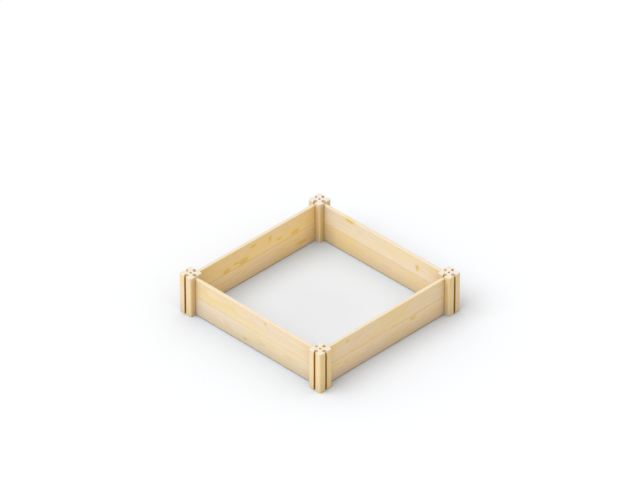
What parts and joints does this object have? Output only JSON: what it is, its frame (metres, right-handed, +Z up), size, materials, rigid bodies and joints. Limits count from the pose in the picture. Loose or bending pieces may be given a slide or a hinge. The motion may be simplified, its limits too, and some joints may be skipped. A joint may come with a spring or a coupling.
{
  "type": "raised garden bed",
  "caption": "Square wooden raised garden bed: stacked boards slide down into keyhole slots in grooved corner posts with dowel holes in their tops.",
  "frame": {"origin": "middle of the bed's square footprint, on the ground", "axes": "+Z up; X and Y run along the sides, and -Y is the front"},
  "size_m": [1.2, 1.2, 0.283],
  "materials": {
    "post_wood": "planed pale pine, untreated, matt",
    "board_wood": "planed pale pine, untreated, matt"
  },
  "bodies": {
    "posts": {"post_front_left": "post_wood", "post_front_right": "post_wood", "post_back_left": "post_wood", "post_back_right": "post_wood"},
    "front_lower": {"board_front_lower": "board_wood"},
    "front_upper": {"board_front_upper": "board_wood"},
    "right_lower": {"board_right_lower": "board_wood"},
    "right_upper": {"board_right_upper": "board_wood"},
    "back_lower": {"board_back_lower": "board_wood"},
    "back_upper": {"board_back_upper": "board_wood"},
    "left_lower": {"board_left_lower": "board_wood"},
    "left_upper": {"board_left_upper": "board_wood"}
  },
  "joints": [
    {"name": "lift_front_lower", "type": "slide", "parent": "posts", "child": "front_lower", "axis": [0, 0, 1], "range_m": [0, 0.277]},
    {"name": "lift_front_upper", "type": "slide", "parent": "front_lower", "child": "front_upper", "axis": [0, 0, 1], "range_m": [0, 0.147]},
    {"name": "lift_right_lower", "type": "slide", "parent": "posts", "child": "right_lower", "axis": [0, 0, 1], "range_m": [0, 0.277]},
    {"name": "lift_right_upper", "type": "slide", "parent": "right_lower", "child": "right_upper", "axis": [0, 0, 1], "range_m": [0, 0.147]},
    {"name": "lift_back_lower", "type": "slide", "parent": "posts", "child": "back_lower", "axis": [0, 0, 1], "range_m": [0, 0.277]},
    {"name": "lift_back_upper", "type": "slide", "parent": "back_lower", "child": "back_upper", "axis": [0, 0, 1], "range_m": [0, 0.147]},
    {"name": "lift_left_lower", "type": "slide", "parent": "posts", "child": "left_lower", "axis": [0, 0, 1], "range_m": [0, 0.277]},
    {"name": "lift_left_upper", "type": "slide", "parent": "left_lower", "child": "left_upper", "axis": [0, 0, 1], "range_m": [0, 0.147]}
  ]
}
